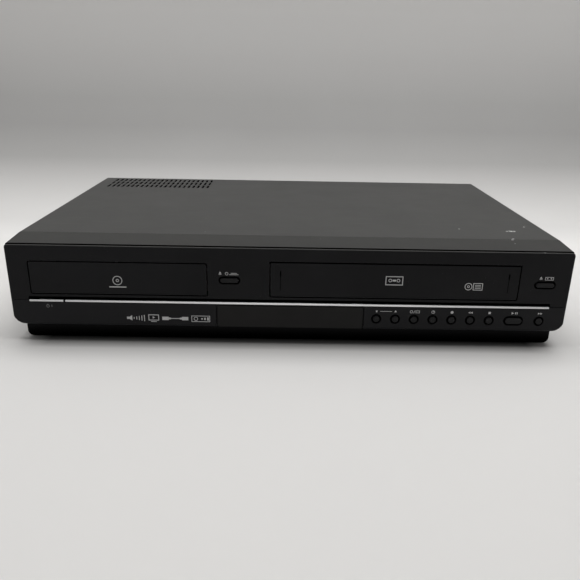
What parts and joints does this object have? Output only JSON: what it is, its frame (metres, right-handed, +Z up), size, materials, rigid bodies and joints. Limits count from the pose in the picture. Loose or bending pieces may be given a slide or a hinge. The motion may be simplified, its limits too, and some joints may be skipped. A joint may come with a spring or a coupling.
{
  "type": "disc and tape combo player",
  "caption": "Flat black combo player with a disc tray, a swinging cassette door, a smoked display and a row of round keys under a bright trim strip.",
  "frame": {"origin": "on the plane the feet stand on, under the middle of the bounding box", "axes": "+X to the right seen from the front, +Y from the front to the back, +Z up"},
  "size_m": [0.4328, 0.2886, 0.08],
  "materials": {
    "cover_paint": "semi-matte dark grey",
    "zinc_steel": "zinc-plated sheet steel",
    "foot_rubber": "matte",
    "screw_steel": "black zinc",
    "panel_plastic": "fine matte, near black",
    "bright_trim": "satin silver paint on plastic",
    "smoked_window": "smoked gloss",
    "spring_steel": "polished steel",
    "key_plastic": "satin near black",
    "board_green": "glass-epoxy board",
    "board_tan": "paper board",
    "transformer_core": "taped winding on ferrite",
    "tube_glass": "display tube",
    "tin_steel": "tin-plated steel",
    "socket_plastic": "black",
    "socket_gold": "plated sleeves",
    "loader_plastic": "light moulding",
    "clamper_plastic": "black moulding",
    "tray_plastic": "fine matte black",
    "gear_plastic": "white acetal",
    "drum_metal": "turned and polished",
    "roller_rubber": "ground rubber"
  },
  "bodies": {
    "cabinet": {"top_cover": "cover_paint", "chassis_pan": "zinc_steel", "rear_panel": "zinc_steel", "feet": "foot_rubber", "case_screws": "screw_steel", "upper_front_panel": "panel_plastic", "lower_front_panel": "panel_plastic", "trim_strip": "bright_trim", "display_window": "smoked_window", "door_spring": "spring_steel", "main_board": "board_green", "power_board": "board_tan", "transformer": "transformer_core", "front_board": "board_green", "display_tube": "tube_glass", "tuner_box": "tin_steel", "av_sockets": "socket_plastic", "socket_sleeves": "socket_gold", "mains_inlet": "socket_plastic", "loader_frame": "loader_plastic", "clamp_bridge": "zinc_steel", "tray_motor": "tin_steel", "deck_plate": "zinc_steel", "lower_drum": "drum_metal", "tape_heads": "tin_steel", "loading_motor": "tin_steel", "side_brackets": "zinc_steel"},
    "tray": {"disc_tray": "tray_plastic", "tray_front": "panel_plastic"},
    "tray_gear": {"tray_gear": "gear_plastic"},
    "traverse": {"traverse_chassis": "tray_plastic", "guide_rods": "spring_steel"},
    "turntable": {"turntable": "clamper_plastic"},
    "clamper": {"disc_clamper": "clamper_plastic"},
    "pickup": {"pickup": "clamper_plastic"},
    "lead_screw": {"lead_screw": "spring_steel"},
    "cassette_door": {"cassette_door": "panel_plastic"},
    "slider": {"carriage_slider": "zinc_steel"},
    "holder": {"cassette_holder": "zinc_steel"},
    "upper_drum": {"upper_drum": "drum_metal"},
    "capstan": {"capstan": "spring_steel"},
    "pinch_arm": {"pinch_arm": "zinc_steel"},
    "pinch_roller": {"pinch_roller": "roller_rubber"},
    "supply_reel": {"supply_reel": "gear_plastic"},
    "takeup_reel": {"takeup_reel": "gear_plastic"},
    "supply_guide": {"supply_guide": "drum_metal"},
    "takeup_guide": {"takeup_guide": "drum_metal"},
    "tension_arm": {"tension_arm": "zinc_steel"},
    "power_key": {"power_key": "bright_trim"},
    "open_close_key": {"open_close_key": "key_plastic"},
    "eject_key": {"eject_key": "key_plastic"},
    "channel_down_key": {"channel_down_key": "key_plastic"},
    "channel_up_key": {"channel_up_key": "key_plastic"},
    "source_key": {"source_key": "key_plastic"},
    "timer_key": {"timer_key": "key_plastic"},
    "record_key": {"record_key": "key_plastic"},
    "rewind_key": {"rewind_key": "key_plastic"},
    "stop_key": {"stop_key": "key_plastic"},
    "play_key": {"play_key": "key_plastic"},
    "forward_key": {"forward_key": "key_plastic"}
  },
  "joints": [
    {"name": "tray_slide", "type": "slide", "parent": "cabinet", "child": "tray", "axis": [0, -1, 0], "range_m": [0, 0.125]},
    {"name": "tray_gear_spin", "type": "hinge", "parent": "cabinet", "child": "tray_gear", "pos_m": [-0.08495, -0.11575, 0.042], "axis": [0, 0, 1], "continuous": true},
    {"name": "traverse_tilt", "type": "hinge", "parent": "cabinet", "child": "traverse", "pos_m": [-0.1307, 0.01725, 0.0383], "axis": [1, 0, 0], "range_deg": [0, 4]},
    {"name": "turntable_spin", "type": "hinge", "parent": "traverse", "child": "turntable", "pos_m": [-0.1307, -0.06975, 0.045], "axis": [0, 0, 1], "continuous": true},
    {"name": "clamper_spin", "type": "hinge", "parent": "cabinet", "child": "clamper", "pos_m": [-0.1307, -0.06975, 0.058], "axis": [0, 0, 1], "continuous": true},
    {"name": "pickup_slide", "type": "slide", "parent": "traverse", "child": "pickup", "axis": [0, 1, 0], "range_m": [0, 0.034]},
    {"name": "lead_screw_spin", "type": "hinge", "parent": "traverse", "child": "lead_screw", "pos_m": [-0.1307, -0.05475, 0.0383], "axis": [0, 1, 0], "continuous": true},
    {"name": "door_swing", "type": "hinge", "parent": "cabinet", "child": "cassette_door", "pos_m": [0.0796, -0.14255, 0.0665], "axis": [1, 0, 0], "range_deg": [0, 85], "stiffness_Nm_per_rad": 0.01, "springref_deg": -28.65, "deforming": ["door_spring"]},
    {"name": "carriage_in", "type": "slide", "parent": "cabinet", "child": "slider", "axis": [0, 1, 0], "range_m": [0, 0.055]},
    {"name": "holder_down", "type": "slide", "parent": "slider", "child": "holder", "axis": [0, 0, -1], "range_m": [0, 0.022]},
    {"name": "drum_spin", "type": "hinge", "parent": "cabinet", "child": "upper_drum", "pos_m": [0.0796, 0.03925, 0.0176], "axis": [-0.1028, 0, 0.9947], "continuous": true},
    {"name": "capstan_spin", "type": "hinge", "parent": "cabinet", "child": "capstan", "pos_m": [0.1256, -0.00475, 0.01], "axis": [0, 0, 1], "continuous": true},
    {"name": "pinch_swing", "type": "hinge", "parent": "cabinet", "child": "pinch_arm", "pos_m": [0.1456, 0.01225, 0.02], "axis": [0, 0, 1], "range_deg": [0, 35], "stiffness_Nm_per_rad": 0.01, "springref_deg": -11.46},
    {"name": "roller_spin", "type": "hinge", "parent": "pinch_arm", "child": "pinch_roller", "pos_m": [0.12812, 0.01133, 0.025], "axis": [0, 0, 1], "continuous": true},
    {"name": "supply_reel_spin", "type": "hinge", "parent": "cabinet", "child": "supply_reel", "pos_m": [0.0336, -0.06775, 0.016], "axis": [0, 0, 1], "continuous": true},
    {"name": "takeup_reel_spin", "type": "hinge", "parent": "cabinet", "child": "takeup_reel", "pos_m": [0.1256, -0.06775, 0.016], "axis": [0, 0, 1], "continuous": true},
    {"name": "takeup_guide_slide", "type": "slide", "parent": "cabinet", "child": "takeup_guide", "axis": [0.1104, 0.9939, 0], "range_m": [0, 0.0543]},
    {"name": "supply_guide_slide", "type": "slide", "parent": "cabinet", "child": "supply_guide", "axis": [-0.1104, 0.9939, 0], "range_m": [0, 0.0543]},
    {"name": "tension_swing", "type": "hinge", "parent": "cabinet", "child": "tension_arm", "pos_m": [0.0136, 0.00225, 0.018], "axis": [0, 0, 1], "range_deg": [-20, 12], "stiffness_Nm_per_rad": 0.01},
    {"name": "power_press", "type": "slide", "parent": "cabinet", "child": "power_key", "axis": [0, 1, 0], "range_m": [0, 0.0008], "stiffness_N_per_m": 120, "springref_m": -0.002},
    {"name": "open_close_press", "type": "slide", "parent": "cabinet", "child": "open_close_key", "axis": [0, 1, 0], "range_m": [0, 0.0008], "stiffness_N_per_m": 120, "springref_m": -0.002},
    {"name": "eject_press", "type": "slide", "parent": "cabinet", "child": "eject_key", "axis": [0, 1, 0], "range_m": [0, 0.0008], "stiffness_N_per_m": 120, "springref_m": -0.002},
    {"name": "channel_down_press", "type": "slide", "parent": "cabinet", "child": "channel_down_key", "axis": [0, 1, 0], "range_m": [0, 0.0008], "stiffness_N_per_m": 120, "springref_m": -0.002},
    {"name": "channel_up_press", "type": "slide", "parent": "cabinet", "child": "channel_up_key", "axis": [0, 1, 0], "range_m": [0, 0.0008], "stiffness_N_per_m": 120, "springref_m": -0.002},
    {"name": "source_press", "type": "slide", "parent": "cabinet", "child": "source_key", "axis": [0, 1, 0], "range_m": [0, 0.0008], "stiffness_N_per_m": 120, "springref_m": -0.002},
    {"name": "timer_press", "type": "slide", "parent": "cabinet", "child": "timer_key", "axis": [0, 1, 0], "range_m": [0, 0.0008], "stiffness_N_per_m": 120, "springref_m": -0.002},
    {"name": "record_press", "type": "slide", "parent": "cabinet", "child": "record_key", "axis": [0, 1, 0], "range_m": [0, 0.0008], "stiffness_N_per_m": 120, "springref_m": -0.002},
    {"name": "rewind_press", "type": "slide", "parent": "cabinet", "child": "rewind_key", "axis": [0, 1, 0], "range_m": [0, 0.0008], "stiffness_N_per_m": 120, "springref_m": -0.002},
    {"name": "stop_press", "type": "slide", "parent": "cabinet", "child": "stop_key", "axis": [0, 1, 0], "range_m": [0, 0.0008], "stiffness_N_per_m": 120, "springref_m": -0.002},
    {"name": "play_press", "type": "slide", "parent": "cabinet", "child": "play_key", "axis": [0, 1, 0], "range_m": [0, 0.0008], "stiffness_N_per_m": 120, "springref_m": -0.002},
    {"name": "forward_press", "type": "slide", "parent": "cabinet", "child": "forward_key", "axis": [0, 1, 0], "range_m": [0, 0.0008], "stiffness_N_per_m": 120, "springref_m": -0.002}
  ],
  "couplings": [
    {"joint": "tray_gear_spin", "follows": "tray_slide", "rad_per_m": -125},
    {"joint": "clamper_spin", "follows": "turntable_spin", "ratio": 1},
    {"joint": "lead_screw_spin", "follows": "pickup_slide", "rad_per_m": 1570.8},
    {"joint": "supply_guide_slide", "follows": "takeup_guide_slide", "ratio": 1}
  ]
}
